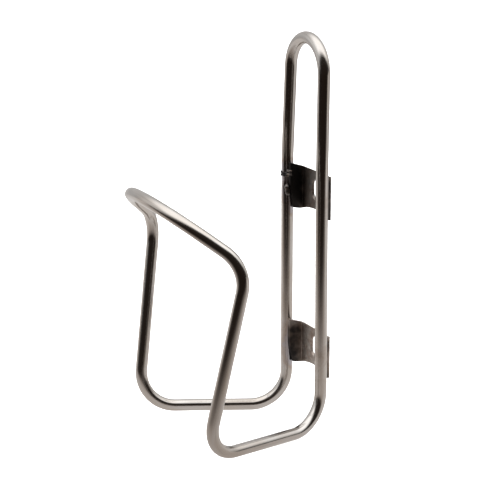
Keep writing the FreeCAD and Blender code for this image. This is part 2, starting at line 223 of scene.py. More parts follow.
class NodeBench:
    """Adds nodes to one tree; an input is given a value or another node's output."""

    def __init__(self, tree):
        self.tree = tree
        self.column = 0

    def add(self, kind, inputs=None, **settings):
        node = self.tree.nodes.new(kind)
        node.location = (self.column * 190, 0)
        self.column += 1
        for name, value in settings.items():
            setattr(node, name, value)
        for key, value in (inputs or {}).items():
            socket = node.inputs[key]
            if isinstance(value, bpy.types.NodeSocket):
                self.tree.links.new(value, socket)
            else:
                socket.default_value = value
        return node

    def math(self, operation, first, second=0.0, third=0.0, clamp=False):
        node = self.add("ShaderNodeMath", {0: first, 1: second, 2: third},
                        operation=operation, use_clamp=clamp)
        return node.outputs[0]

    def vector(self, operation, first, second=(0.0, 0.0, 0.0)):
        node = self.add("ShaderNodeVectorMath", {0: first, 1: second}, operation=operation)
        return node.outputs["Value" if operation in ("LENGTH", "DOT_PRODUCT") else "Vector"]

    def scaled(self, vector, factors):
        return self.vector("MULTIPLY", vector, factors)

    def ramp(self, value, low, high, start=0.0, end=1.0):
        """Goes smoothly from start to end while the value goes from low to high."""
        node = self.add("ShaderNodeMapRange", {
            "Value": value, "From Min": low, "From Max": high, "To Min": start, "To Max": end},
            interpolation_type="SMOOTHSTEP")
        return node.outputs["Result"]

    def noise(self, vector, scale, detail=3.0, roughness=0.55):
        node = self.add("ShaderNodeTexNoise", {
            "Vector": vector, "Scale": scale, "Detail": detail, "Roughness": roughness})
        return node.outputs["Fac"]

    def grain(self, vector, waves, detail=3.0, roughness=0.55):
        """Noise with its own number of waves per unit along each axis."""
        return self.noise(self.scaled(vector, waves), 1.0, detail, roughness)

    def blend(self, share, first, second, blend_type="MIX"):
        node = self.add("ShaderNodeMix", {0: share, 6: first, 7: second},
                        data_type="RGBA", blend_type=blend_type)
        return node.outputs[2]


def opaque(colour):
    """The colour with full alpha."""
    return (colour[0], colour[1], colour[2], 1.0)


def tinted(colour, red, green, blue):
    """The colour with its channels multiplied, no brighter than 1, with full alpha."""
    return tuple(min(1.0, part * factor)
                 for part, factor in zip(colour, (red, green, blue))) + (1.0,)


def shaded(colour, factor):
    """The colour made darker or lighter, with full alpha."""
    return tinted(colour, factor, factor, factor)


def new_tree(name, sockets):
    """A geometry node tree with a geometry in and out and the given named inputs."""
    tree = bpy.data.node_groups.new(name, "GeometryNodeTree")
    tree.interface.new_socket("Geometry", in_out="INPUT", socket_type="NodeSocketGeometry")
    for label, kind, default in sockets:
        socket = tree.interface.new_socket(label, in_out="INPUT", socket_type=kind)
        if default is not None:
            socket.default_value = default
    tree.interface.new_socket("Geometry", in_out="OUTPUT", socket_type="NodeSocketGeometry")
    return tree


def grown(name, base_mesh, tree, values):
    """Run a tree over a base mesh and return the result as a plain mesh object."""
    seed = bpy.data.objects.new(name + "_seed", base_mesh)
    bpy.context.scene.collection.objects.link(seed)
    modifier = seed.modifiers.new("build", "NODES")
    modifier.node_group = tree
    identifiers = {item.name: item.identifier for item in tree.interface.items_tree
                   if item.in_out == "INPUT"}
    for label, value in values.items():
        modifier[identifiers[label]] = value
    graph = bpy.context.evaluated_depsgraph_get()
    mesh = bpy.data.meshes.new_from_object(
        seed.evaluated_get(graph), preserve_all_data_layers=True, depsgraph=graph)
    seed.modifiers.remove(modifier)
    bpy.data.objects.remove(seed)
    mesh.name = name
    piece = bpy.data.objects.new(name, mesh)
    bpy.context.scene.collection.objects.link(piece)
    if not mesh.polygons:
        raise RuntimeError(name + " came out empty")
    return piece


# -------------------------------------------------------------- weld places
# All in millimetres.

REAR_BEAD_RADIUS = 0.93
# From the bracket's outer face to the bead's own line.
REAR_BEAD_OFFSET = 0.95
# What the rounded end of a bead stands back from the end of its weld.
REAR_END_GAP = 0.1


def rear_weld_line(node):
    """The lowest and highest points of the middle line of a weld behind a bracket."""
    low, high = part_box(node)
    if low.x > 0.0:
        x = low.x / MM + REAR_BEAD_OFFSET
    else:
        x = high.x / MM - REAR_BEAD_OFFSET
    y = (low.y + high.y) / 2 / MM
    return (Vector((x, y, low.z / MM + REAR_END_GAP)),
            Vector((x, y, high.z / MM - REAR_END_GAP)))


def box_middle(node):
    low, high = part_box(node)
    return (low + high) / 2 / MM


def joint_centre():
    """Middle of the butt joint, on the -X upright."""
    return mirrored(upright_point(bpy.context.scene.cage_tube.joint_height / MM))


# ---------------------------------------------------------------- materials
# Places, distances and heat reaches are in millimetres, waves are per millimetre.

# Half of the stretch that each kind of weld heated.
REAR_HOT_HALF = 6.0
FRONT_HOT_HALF = 2.2
RING_HOT_HALF = 0.5
# The ring weld's heat starts this far from the tube's centreline.
RING_HOT_START = 2.2
# From the middle of a rear bead on the +X side to the middle of the metal that it heated.
UPPER_HEAT_SHIFT = Vector((-0.45, 0.0, 0.0))
LOWER_HEAT_SHIFT = Vector((-0.45, -1.05, 0.0))
# How much the edge of the heated zone wanders in and out.
HEAT_WANDER = 5.0
# The painted shade on the joint weld fades out across this X, beside the bracket, and sets in
# across this Z.
PAINTED_SHADE_SIDE = (-11.6, -11.0)
PAINTED_SHADE_FOOT = (33.8, 34.8)
# What is left of the sheet's brightness in its darker grain and specks, and over the whole upper
# bracket as painted shade.
DARK_GRAIN_AND_SHADE = 0.42


def distance_to_bead(bench, place, centre, half_length):
    """Distance in millimetres from an upright bead of the given length."""
    offset = bench.vector("ABSOLUTE", bench.vector("SUBTRACT", place, centre))
    shortened = bench.vector("SUBTRACT", offset, (0.0, 0.0, half_length))
    outside = bench.vector("MAXIMUM", shortened, (0.0, 0.0, 0.0))
    return bench.vector("LENGTH", outside)


def heat_field(bench, place):
    """Distance in millimetres to the nearest weld, roughened by a slow noise."""
    folded = bench.add("ShaderNodeSeparateXYZ", {0: place})
    across = bench.math("ABSOLUTE", folded.outputs["X"])
    mirror = bench.add("ShaderNodeCombineXYZ", {
        "X": across, "Y": folded.outputs["Y"], "Z": folded.outputs["Z"]}).outputs[0]
    upper_middle = sum(rear_weld_line("weld_upper_right_rear"), Vector()) / 2
    lower_middle = sum(rear_weld_line("weld_lower_right_rear"), Vector()) / 2
    front_middle = box_middle("weld_upper_left_front")
    upper = distance_to_bead(bench, mirror, upper_middle + UPPER_HEAT_SHIFT, REAR_HOT_HALF)
    lower = distance_to_bead(bench, mirror, lower_middle + LOWER_HEAT_SHIFT, REAR_HOT_HALF)
    front = distance_to_bead(bench, place, front_middle, FRONT_HOT_HALF)
    joint = distance_to_bead(bench, place, joint_centre(), RING_HOT_HALF)
    ring = bench.math("SUBTRACT", joint, RING_HOT_START)
    nearest = bench.math("MINIMUM", bench.math("MINIMUM", upper, lower),
                         bench.math("MINIMUM", front, ring))
    slow = bench.noise(place, scale=0.22, detail=2.0)
    wander = bench.math("MULTIPLY_ADD", slow, HEAT_WANDER, -HEAT_WANDER / 2)
    return bench.math("ADD", nearest, wander)


def heat_coloured(bench, colour, distance, straw, blue, reach):
    """Colour a metal by its distance from a weld: grey-blue, then straw, then bare."""
    straw_share = bench.ramp(distance, 0.5 * reach, reach, start=0.8, end=0.0)
    blue_share = bench.ramp(distance, 0.25 * reach, 0.75 * reach, start=0.94, end=0.0)
    warmed = bench.blend(straw_share, colour, straw)
    return bench.blend(blue_share, warmed, blue)


def millimetres(bench, socket):
    """A place in metres turned into millimetres."""
    return bench.scaled(socket, (MILLIMETRES_PER_METRE,) * 3)


def start_metal(name):
    """A metal material with its node bench, its shader and the place in millimetres."""
    material = bpy.data.materials.new(name)
    material.use_nodes = True
    bench = NodeBench(material.node_tree)
    shader = material.node_tree.nodes["Principled BSDF"]
    shader.inputs["Metallic"].default_value = 1.0
    place = millimetres(bench, bench.add("ShaderNodeTexCoord").outputs["Object"])
    return material, bench, shader, place


def finish_metal(bench, shader, colour, roughness, height, strength, depth_mm):
    """Give the shader its colour, roughness and a bump of the given depth."""
    bump = bench.add("ShaderNodeBump", {
        "Height": height, "Strength": strength, "Distance": depth_mm * MM})
    link = bench.tree.links.new
    link(colour, shader.inputs["Base Color"])
    link(roughness, shader.inputs["Roughness"])
    link(bump.outputs["Normal"], shader.inputs["Normal"])


def satin_tube_metal(finish):
    """Satin-brushed titanium tube: drawing lines along it, brush marks round it."""
    material, bench, shader, place = start_metal("satin_tube_metal")
    unrolled = bench.add("ShaderNodeAttribute", attribute_name="straight").outputs["Vector"]
    lie = millimetres(bench, unrolled)
    brush = bench.grain(lie, waves=(0.5, 0.5, 5.0))
    drawn = bench.grain(lie, waves=(1.7, 1.7, 0.035), detail=4.0, roughness=0.65)
    cloud = bench.grain(lie, waves=(0.25, 0.25, 0.06), detail=2.0)
    grit = bench.noise(place, scale=3.2, detail=4.0, roughness=0.7)

    bare = opaque(finish.tube_metal)
    warm = tinted(bare, 0.90, 0.86, 0.82)
    dark = shaded(bare, 0.62)
    colour = bench.blend(bench.ramp(cloud, 0.35, 0.7), bare, warm)
    colour = bench.blend(bench.ramp(drawn, 0.55, 0.78, end=0.75), colour, dark)
    colour = bench.blend(bench.ramp(grit, 0.5, 0.9, end=0.35), colour, dark)
    straw = shaded(finish.straw_tint, 1.4)
    lilac = shaded(finish.blue_tint, 5.2)
    colour = heat_coloured(bench, colour, heat_field(bench, place), straw, lilac, reach=5.0)

    roughness = bench.math("MULTIPLY_ADD", brush, 0.08, finish.tube_roughness)
    roughness = bench.math("MULTIPLY_ADD", cloud, 0.06, roughness)
    height = bench.math("MULTIPLY_ADD", drawn, 0.6, bench.math("MULTIPLY", brush, 0.4))
    finish_metal(bench, shader, colour, roughness, height, strength=0.10, depth_mm=0.12)
    return material


def bent_sheet_metal(name, bare, matte, heat_and_shade_reach, finish):
    """Mill-finish titanium sheet: rolling grain, stains, and heat colour by its welds, deepened
    there into painted shade.
    """
    material, bench, shader, place = start_metal(name)
    rolled = bench.grain(place, waves=(0.12, 1.6, 2.6))
    stain = bench.noise(place, scale=0.30, detail=4.0, roughness=0.6)
    speck = bench.noise(place, scale=1.35, detail=3.0, roughness=0.75)

    brown = tinted(bare, 0.78, 0.68, 0.62)
    dark = shaded(bare, DARK_GRAIN_AND_SHADE)
    pale = shaded(bare, 1.6)
    colour = bench.blend(bench.ramp(stain, 0.40, 0.66), bare, brown)
    colour = bench.blend(bench.ramp(rolled, 0.5, 0.8, end=0.45), colour, dark)
    colour = bench.blend(bench.ramp(speck, 0.54, 0.70, end=0.65), colour, pale)
    colour = bench.blend(bench.ramp(speck, 0.30, 0.46, start=0.6, end=0.0), colour, dark)
    # Near the welds the sheet turns near-black: heat colour together with painted shade on the
    # bracket's sides.
    heat_tint_and_shade = shaded(finish.blue_tint, 0.25)
    colour = heat_coloured(bench, colour, heat_field(bench, place),
                           opaque(finish.straw_tint), heat_tint_and_shade, heat_and_shade_reach)

    roughness = bench.math("MULTIPLY_ADD", stain, 0.16, matte)
    roughness = bench.math("MULTIPLY_ADD", speck, 0.14, roughness)
    height = bench.math("MULTIPLY_ADD", rolled, 0.5, bench.math("MULTIPLY", speck, 0.5))
    finish_metal(bench, shader, colour, roughness, height, strength=0.22, depth_mm=0.15)
    return material


def rippled_weld_metal(finish):
    """Weld metal: bright crests, heat-coloured valleys between the ripples, painted shade over
    the joint weld.
    """
    material, bench, shader, place = start_metal("rippled_weld_metal")
    crest = bench.add("ShaderNodeAttribute", attribute_name="crest").outputs["Fac"]
    mottle = bench.noise(place, scale=1.4, detail=3.0, roughness=0.6)
    valley = bench.blend(bench.ramp(mottle, 0.35, 0.7), opaque(finish.blue_tint),
                         opaque(finish.straw_tint))
    colour = bench.blend(bench.ramp(crest, 0.45, 1.0), valley, opaque(finish.weld_metal))
    # Painted shade darkens the joint weld, except where it runs over the bracket's edge.
    spot = bench.add("ShaderNodeSeparateXYZ", {0: place}).outputs
    painted_shade_share = bench.math("MULTIPLY", bench.ramp(spot["X"], *PAINTED_SHADE_SIDE, start=0.93, end=0.0),
                        bench.ramp(spot["Z"], *PAINTED_SHADE_FOOT))
    colour = bench.blend(painted_shade_share, colour, shaded(finish.blue_tint, 0.35))
    roughness = bench.math("MULTIPLY_ADD", mottle, 0.18, finish.weld_roughness)
    finish_metal(bench, shader, colour, roughness, mottle, strength=0.25, depth_mm=0.08)
    return material


# --------------------------------------------------------------------- tube

# Where the undercut deepens and where it ends, measured back from the tube's last end.
UNDERCUT_NEAR = (0.6 * MM, 2.2 * MM)
UNDERCUT_FAR = (3.6 * MM, 6.0 * MM)


def tube_corners(tube):
    """Corners of the whole tube in millimetres, each with its bend radius in metres."""
    reach = tube.hoop_reach / MM
    tip = Vector((0.0, SHOULDER.y - reach, SHOULDER.z + reach * math.tan(tube.hoop_slope)))
    crown_turn = Vector((1.0, 0.0, 0.0)).angle(WAIST - CROWN)
    crown_bend = CROWN.x * MM / math.tan(crown_turn / 2)
    joint = tube.joint_height / MM
    half_gap = tube.joint_gap / MM / 2
    right_side = [(CROWN, crown_bend), (WAIST, tube.waist_bend), (HEEL, tube.heel_bend),
                  (TOE, tube.toe_bend), (SHOULDER, tube.shoulder_bend)]
    left_side = [(mirrored(point), bend) for point, bend in right_side]
    return ([(mirrored(upright_point(joint + half_gap)), 0.0)]
            + [left_side[1], left_side[0]] + right_side + [(tip, tube.hoop_bend)]
            + left_side[:1:-1] + [(mirrored(upright_point(joint - half_gap)), 0.0)])


def corner_chain(name, corners):
    """A chain of edges through the corners, with the bend radius kept on each."""
    mesh = bpy.data.meshes.new(name)
    mesh.from_pydata([tuple(point * MM) for point, bend in corners],
                     [(index, index + 1) for index in range(len(corners) - 1)], [])
    bends = mesh.attributes.new("bend", "FLOAT", "POINT")
    for index, (point, bend) in enumerate(corners):
        bends.data[index].value = bend
    return mesh


def bent_tube_tree():
    """Rounds the corners of a chain of edges and sweeps a round section along it."""
    tree = new_tree("bent_tube", [
        ("Tube Radius", "NodeSocketFloat", 0.00238),
        ("Sides", "NodeSocketInt", 40),
        ("Step", "NodeSocketFloat", 0.001),
        ("Arc Points", "NodeSocketInt", 32),
        ("Undercut", "NodeSocketFloat", 0.05),
        ("Metal", "NodeSocketMaterial", None),
    ])
    bench = NodeBench(tree)
    given = bench.add("NodeGroupInput").outputs

    chain = bench.add("GeometryNodeMeshToCurve", {"Mesh": given["Geometry"]})
    bend = bench.add("GeometryNodeInputNamedAttribute", {"Name": "bend"}, data_type="FLOAT")
    rounded = bench.add("GeometryNodeFilletCurve", {
        "Curve": chain.outputs[0], "Count": given["Arc Points"],
        "Radius": bend.outputs["Attribute"], "Limit Radius": False}, mode="POLY")
    route = bench.add("GeometryNodeResampleCurve", {
        "Curve": rounded.outputs[0], "Length": given["Step"]}, mode="LENGTH")

    # The tube is a little thinner just below its butt joint.
    along = bench.add("GeometryNodeSplineParameter").outputs["Length"]
    whole = bench.add("GeometryNodeSplineLength").outputs["Length"]
    to_end = bench.math("SUBTRACT", whole, along)
    into = bench.ramp(to_end, *UNDERCUT_NEAR)
    out_of = bench.ramp(to_end, *UNDERCUT_FAR, start=1.0, end=0.0)
    pinch = bench.math("MULTIPLY", bench.math("MULTIPLY", into, out_of), given["Undercut"])
    share = bench.math("SUBTRACT", 1.0, pinch)
    marked = bench.add("GeometryNodeStoreNamedAttribute", {
        "Geometry": route.outputs[0], "Name": "along", "Value": along},
        data_type="FLOAT", domain="POINT")

    circle = bench.add("GeometryNodeCurvePrimitiveCircle", {
        "Resolution": given["Sides"], "Radius": given["Tube Radius"]})
    around = bench.add("GeometryNodeInputPosition").outputs[0]
    section = bench.add("GeometryNodeStoreNamedAttribute", {
        "Geometry": circle.outputs["Curve"], "Name": "around", "Value": around},
        data_type="FLOAT_VECTOR", domain="POINT")
    skin = bench.add("GeometryNodeCurveToMesh", {
        "Curve": marked.outputs[0], "Profile Curve": section.outputs[0],
        "Scale": share, "Fill Caps": True})

    # Where each point would be if the tube were still straight.
    kept_along = bench.add("GeometryNodeInputNamedAttribute", {"Name": "along"},
                           data_type="FLOAT")
    kept_around = bench.add("GeometryNodeInputNamedAttribute", {"Name": "around"},
                            data_type="FLOAT_VECTOR")
    parts = bench.add("ShaderNodeSeparateXYZ", {0: kept_around.outputs["Attribute"]}).outputs
    lie = bench.add("ShaderNodeCombineXYZ", {
        "X": parts["X"], "Y": parts["Y"], "Z": kept_along.outputs["Attribute"]})
    unrolled = bench.add("GeometryNodeStoreNamedAttribute", {
        "Geometry": skin.outputs[0], "Name": "straight", "Value": lie.outputs[0]},
        data_type="FLOAT_VECTOR", domain="POINT")

    smooth = bench.add("GeometryNodeSetShadeSmooth", {"Geometry": unrolled.outputs[0]})
    real = bench.add("GeometryNodeRealizeInstances", {"Geometry": smooth.outputs[0]})
    metal = bench.add("GeometryNodeSetMaterial", {
        "Geometry": real.outputs[0], "Material": given["Metal"]})
    bench.add("NodeGroupOutput", {0: metal.outputs[0]})
    return tree


class CAGE_OT_tube(bpy.types.Operator):
    """Sweep the tube along its bent route and give it its brushed finish"""
    bl_idname = "cage.tube"
    bl_label = "Build the Tube"

    def execute(self, context):
        tube = context.scene.cage_tube
        piece = grown("tube", corner_chain("tube_route", tube_corners(tube)), bent_tube_tree(), {
            "Tube Radius": tube.radius,
            "Sides": tube.sides,
            "Step": tube.step,
            "Arc Points": tube.arc_points,
            "Undercut": tube.undercut,
            "Metal": satin_tube_metal(context.scene.cage_finish),
        })
        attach(piece, "root")
        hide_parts("tube_frame")
        return {"FINISHED"}


# ----------------------------------------------------------------- brackets

MERGE_DISTANCE = 0.002 * MM
FLAT_ANGLE = math.radians(0.5)
SHARP_ANGLE = math.radians(28)


def break_edges(mesh, width):
    """Join a CAD mesh's loose triangles and file its sharp edges to the given width."""
    shell = bmesh.new()
    shell.from_mesh(mesh)
    bmesh.ops.remove_doubles(shell, verts=shell.verts, dist=MERGE_DISTANCE)
    bmesh.ops.dissolve_limit(shell, angle_limit=FLAT_ANGLE, verts=shell.verts, edges=shell.edges)
    sharp = [edge for edge in shell.edges
             if edge.is_manifold and edge.calc_face_angle(0.0) > SHARP_ANGLE]
    bmesh.ops.bevel(shell, geom=sharp, offset=width, offset_type="OFFSET", segments=3,
                    profile=0.6, affect="EDGES", clamp_overlap=True)
    bmesh.ops.recalc_face_normals(shell, faces=shell.faces)
    bmesh.ops.triangulate(shell, faces=shell.faces)
    for face in shell.faces:
        face.smooth = True
    shell.to_mesh(mesh)
    shell.free()
    for name in ("custom_normal", "sharp_edge"):
        if name in mesh.attributes:
            mesh.attributes.remove(mesh.attributes[name])


class CAGE_OT_brackets(bpy.types.Operator):
    """Break the edges of the two bent-sheet brackets and give them their mill finish, the upper
    one darkened all over as painted shade
    """
    bl_idname = "cage.brackets"
    bl_label = "Build the Brackets"

    def execute(self, context):
        finish = context.scene.cage_finish
        bare_sheet = opaque(finish.sheet_metal)
        metals = {
            # The upper bracket is the same sheet metal, darkened all over as painted shade.
            "bracket_upper": bent_sheet_metal("painted_shade_sheet_metal", shaded(bare_sheet, DARK_GRAIN_AND_SHADE),
                                              matte=0.32, heat_and_shade_reach=8.5, finish=finish),
            "bracket_lower": bent_sheet_metal("mill_sheet_metal", bare_sheet,
                                              matte=0.40, heat_and_shade_reach=5.9, finish=finish),
        }
        for node, metal in metals.items():
            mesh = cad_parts[node].data.copy()
            mesh.materials.clear()
            break_edges(mesh, context.scene.cage_bracket.edge_break)
            mesh.materials.append(metal)
            piece = bpy.data.objects.new(node.replace("bracket", "sheet_bracket"), mesh)
            context.scene.collection.objects.link(piece)
            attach(piece, "root")
            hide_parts(node)
        return {"FINISHED"}


# -------------------------------------------------------------------- welds

# Length of one face along a bead.
BEAD_STEP = 0.09 * MM
# Thickness that is left at the very end of a bead, as a share of its radius.
END_SHARE = 0.05
# Above 1, a ripple rises slowly and drops fast.
RIPPLE_SKEW = 1.5
# Waves per metre of the unevenness of the ripples.
RIPPLE_UNEVENNESS = (900.0, 900.0, 900.0)


def rippled_bead_tree():
    """Sweeps a bead along a chain of edges and presses crescent ripples into it."""
    tree = new_tree("rippled_bead", [
        ("Bead Radius", "NodeSocketFloat", 0.001),
        ("Step", "NodeSocketFloat", 0.0001),
        ("Sides", "NodeSocketInt", 24),
        ("End Taper", "NodeSocketFloat", 0.001),
        ("Ripple Pitch", "NodeSocketFloat", 0.001),
        ("Ripple Depth", "NodeSocketFloat", 0.15),
        ("Crescent", "NodeSocketFloat", 0.0005),
        ("Outward", "NodeSocketVector", (0.0, -1.0, 0.0)),
        ("Metal", "NodeSocketMaterial", None),
    ])
    bench = NodeBench(tree)
    given = bench.add("NodeGroupInput").outputs
    chain = bench.add("GeometryNodeMeshToCurve", {"Mesh": given["Geometry"]})
    route = bench.add("GeometryNodeResampleCurve", {
        "Curve": chain.outputs[0], "Length": given["Step"]}, mode="LENGTH")

    # Rounded ends: the section shrinks as a quarter ellipse towards each end.
    along = bench.add("GeometryNodeSplineParameter").outputs["Length"]
    whole = bench.add("GeometryNodeSplineLength").outputs["Length"]
    to_end = bench.math("SUBTRACT", whole, along)
    short = bench.math("MINIMUM", along, to_end)
    inwards = bench.math("DIVIDE", short, given["End Taper"], clamp=True)
    from_round = bench.math("SUBTRACT", 1.0, inwards)
    round_end = bench.math("SQRT", bench.math(
        "SUBTRACT", 1.0, bench.math("MULTIPLY", from_round, from_round)))
    share = bench.math("MAXIMUM", round_end, END_SHARE)
    marked = bench.add("GeometryNodeStoreNamedAttribute", {
        "Geometry": route.outputs[0], "Name": "along", "Value": along},
        data_type="FLOAT", domain="POINT")
    circle = bench.add("GeometryNodeCurvePrimitiveCircle", {
        "Resolution": given["Sides"], "Radius": given["Bead Radius"]})
    skin = bench.add("GeometryNodeCurveToMesh", {
        "Curve": marked.outputs[0], "Profile Curve": circle.outputs["Curve"],
        "Scale": share, "Fill Caps": True})

    # Each ripple rises slowly and drops fast, and lags at the sides of the bead.
    normal = bench.add("GeometryNodeInputNormal").outputs["Normal"]
    facing = bench.vector("DOT_PRODUCT", normal, given["Outward"])
    lag = bench.math("MULTIPLY", bench.math("SUBTRACT", 1.0, facing), given["Crescent"])
    kept_along = bench.add("GeometryNodeInputNamedAttribute", {"Name": "along"},
                           data_type="FLOAT")
    travel = bench.math("ADD", kept_along.outputs["Attribute"], lag)
    phase = bench.math("FRACT", bench.math("DIVIDE", travel, given["Ripple Pitch"]))
    skewed = bench.math("POWER", phase, RIPPLE_SKEW)
    bulge = bench.math("SINE", bench.math("MULTIPLY", skewed, math.pi))
    place = bench.add("GeometryNodeInputPosition").outputs[0]
    uneven = bench.grain(place, waves=RIPPLE_UNEVENNESS, detail=2.0)
    height = bench.math("MULTIPLY_ADD", uneven, 0.8, 0.45)
    crest = bench.math("MULTIPLY", bulge, height, clamp=True)
    depth = bench.math("MULTIPLY", given["Bead Radius"], given["Ripple Depth"])
    sink = bench.math("MULTIPLY", bench.math("SUBTRACT", crest, 1.0), depth)
    push = bench.add("ShaderNodeVectorMath", {0: normal, "Scale": sink}, operation="SCALE")
    noted = bench.add("GeometryNodeStoreNamedAttribute", {
        "Geometry": skin.outputs[0], "Name": "crest", "Value": crest},
        data_type="FLOAT", domain="POINT")
    pressed = bench.add("GeometryNodeSetPosition", {
        "Geometry": noted.outputs[0], "Offset": push.outputs["Vector"]})
    smooth = bench.add("GeometryNodeSetShadeSmooth", {"Geometry": pressed.outputs[0]})
    real = bench.add("GeometryNodeRealizeInstances", {"Geometry": smooth.outputs[0]})
    metal = bench.add("GeometryNodeSetMaterial", {
        "Geometry": real.outputs[0], "Material": given["Metal"]})
    bench.add("NodeGroupOutput", {0: metal.outputs[0]})
    return tree


def weld_parts():
    """The weld metal and the bead tree, made once."""
    metal = bpy.data.materials.get("rippled_weld_metal")
    if metal is None:
        metal = rippled_weld_metal(bpy.context.scene.cage_finish)
    tree = bpy.data.node_groups.get("rippled_bead")
    if tree is None:
        tree = rippled_bead_tree()
    return metal, tree


def straight_line(name, low, high):
    """One edge between two points given in millimetres."""
    mesh = bpy.data.meshes.new(name)
    mesh.from_pydata([tuple(low * MM), tuple(high * MM)], [(0, 1)], [])
    return mesh


def lay_weld(name, node, line, sizes, outward):
    """Grow a weld along a line of edges in place of its CAD node."""
    metal, tree = weld_parts()
    piece = grown(name, line, tree, {
        "Step": BEAD_STEP,
        "Sides": bpy.context.scene.cage_weld.sides,
        "Outward": outward,
        "Metal": metal,
        **sizes,
    })
    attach(piece, "root")
    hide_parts(node)


def bead_sizes(radius_mm, taper_mm, pitch_share=1.0, depth_share=1.0):
    """Sizes of a straight bead; the shares are of the pitch and depth in the settings."""
    weld = bpy.context.scene.cage_weld
    return {
        "Bead Radius": radius_mm * MM,
        "End Taper": taper_mm * MM,
        "Ripple Pitch": weld.ripple_pitch * pitch_share,
        "Ripple Depth": weld.ripple_depth * depth_share,
        "Crescent": weld.crescent,
    }


class CAGE_OT_rear_welds(bpy.types.Operator):
    """Lay the four long beads behind the sides of the brackets"""
    bl_idname = "cage.rear_welds"
    bl_label = "Lay the Rear Welds"

    def execute(self, context):
        sizes = bead_sizes(REAR_BEAD_RADIUS, taper_mm=1.1)
        for level in ("upper", "lower"):
            for side, sign in (("left", -1), ("right", 1)):
                spot = "%s_%s_rear" % (level, side)
                node = "weld_" + spot
                line = straight_line(node + "_line", *rear_weld_line(node))
                lay_weld("bead_" + spot, node, line, sizes, outward=(sign * 0.45, 0.89, 0.0))
        return {"FINISHED"}


# The short bead's line, from its weld's middle line to the bead's lower and upper ends.
FRONT_LOW_SHIFT = Vector((0.45, 0.15, 0.6))
FRONT_HIGH_SHIFT = Vector((-0.45, -0.15, -0.05))


class CAGE_OT_front_weld(bpy.types.Operator):
    """Lay the short bead at the free edge of the upper bracket's -X side"""
    bl_idname = "cage.front_weld"
    bl_label = "Lay the Front Weld"

    def execute(self, context):
        node = "weld_upper_left_front"
        low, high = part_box(node)
        middle = box_middle(node)
        bottom = Vector((middle.x, middle.y, low.z / MM)) + FRONT_LOW_SHIFT
        top = Vector((middle.x, middle.y, high.z / MM)) + FRONT_HIGH_SHIFT
        sizes = bead_sizes(radius_mm=1.12, taper_mm=1.3, pitch_share=1.5, depth_share=0.5)
        lay_weld("bead_upper_left_front", node, straight_line(node + "_line", bottom, top),
                 sizes, outward=(0.4, -0.92, 0.0))
        return {"FINISHED"}


# The joint weld, in millimetres: two wavy passes round the tube.
RING_BEAD_RADIUS = 0.58
RING_SINK = 0.22
RING_LEVELS = (-0.48, 0.48)
RING_POINTS = 64
RING_RIPPLES = 14
# Next to nothing, because the passes are closed and the crests end bluntly.
RING_TAPER = 0.00001
# Two crests run on over the free edge of the bracket's side, from the tube's centre.
CREST_LEVELS = (0.12, 1.49)
CREST_LINE = (Vector((1.75, -1.05, 0.0)), Vector((2.3, -1.1, 0.0)), Vector((3.0, -0.95, 0.0)),
              Vector((3.5, -0.6, 0.0)), Vector((3.68, -0.1, 0.0)))


def joint_line(centre, radius):
    """Two closed wavy passes round the joint, and the two crests beside them."""
    points, edges = [], []
    for level in RING_LEVELS:
        first = len(points)
        for index in range(RING_POINTS):
            turn = 2 * math.pi * index / RING_POINTS
            wave = 0.10 * math.sin(3 * turn + level) + 0.06 * math.sin(7 * turn)
            offset = Vector((radius * math.cos(turn), radius * math.sin(turn), level + wave))
            points.append(tuple((centre + offset) * MM))
            edges.append((first + index, first + (index + 1) % RING_POINTS))
    for level in CREST_LEVELS:
        first = len(points)
        for offset in CREST_LINE:
            points.append(tuple((centre + offset + Vector((0.0, 0.0, level))) * MM))
        edges += [(index, index + 1) for index in range(first, len(points) - 1)]
    mesh = bpy.data.meshes.new("joint_line")
    mesh.from_pydata(points, edges, [])
    return mesh


class CAGE_OT_joint_weld(bpy.types.Operator):
    """Lay the ring weld round the butt joint of the tube"""
    bl_idname = "cage.joint_weld"
    bl_label = "Lay the Joint Weld"

    def execute(self, context):
        radius = context.scene.cage_tube.radius / MM - RING_SINK
        sizes = {
            "Bead Radius": RING_BEAD_RADIUS * MM,
            "End Taper": RING_TAPER * MM,
            "Ripple Pitch": 2 * math.pi * radius * MM / RING_RIPPLES,
            "Ripple Depth": 1.5 * context.scene.cage_weld.ripple_depth,
            "Crescent": 0.0,
        }
        lay_weld("bead_joint_ring", "weld_joint_ring", joint_line(joint_centre(), radius),
                 sizes, outward=(0.0, 0.0, 1.0))
        return {"FINISHED"}


# -------------------------------------------------------------------- stage

FLOOR_HALF_SIZE = 6.0
FLOOR_GAP = 0.1 * MM
CARD_GAP = 0.5 * MM
LAMP_PLACE = Vector((-0.25, 0.15, 1.1))
LAMP_SIZE = 1.1
# Turn of the dark board about the vertical, from square to the camera: on the card under
# the floor, and in the surround above it.
CARD_BOARD_TURN = math.radians(-14)
BOARD_TURN = math.radians(10)
# Where the card goes dark, where it turns pale and where it turns warm, in metres from
# the cage towards the board.
CARD_DARK_EDGE = (-0.045, 0.238)
CARD_PALE_EDGE = (-0.30, -0.05)
CARD_WARM_EDGE = (0.0, 0.12)
# How far the board leans back, and how soft its edge is.
BOARD_LEAN = -0.62
BOARD_EDGE = (-0.16, 0.30)
# How far the overhead light leans forward, and where it begins and is full.
OVERHEAD_LEAN = 0.5
OVERHEAD_EDGE = (0.20, 0.90)
# What the metal mirrors of the board and of the floor.
BOARD_GLOW = (0.022, 0.0165, 0.0135, 1.0)
BOARD_SHADE = (0.026, 0.0195, 0.016, 1.0)
CARD_FAR = (0.63, 0.612, 0.60, 1.0)
CARD_NEAR = (0.92, 0.885, 0.86, 1.0)
CARD_WARMTH = (1.0, 0.80, 0.66, 1.0)
WHITE = (1.0, 1.0, 1.0, 1.0)


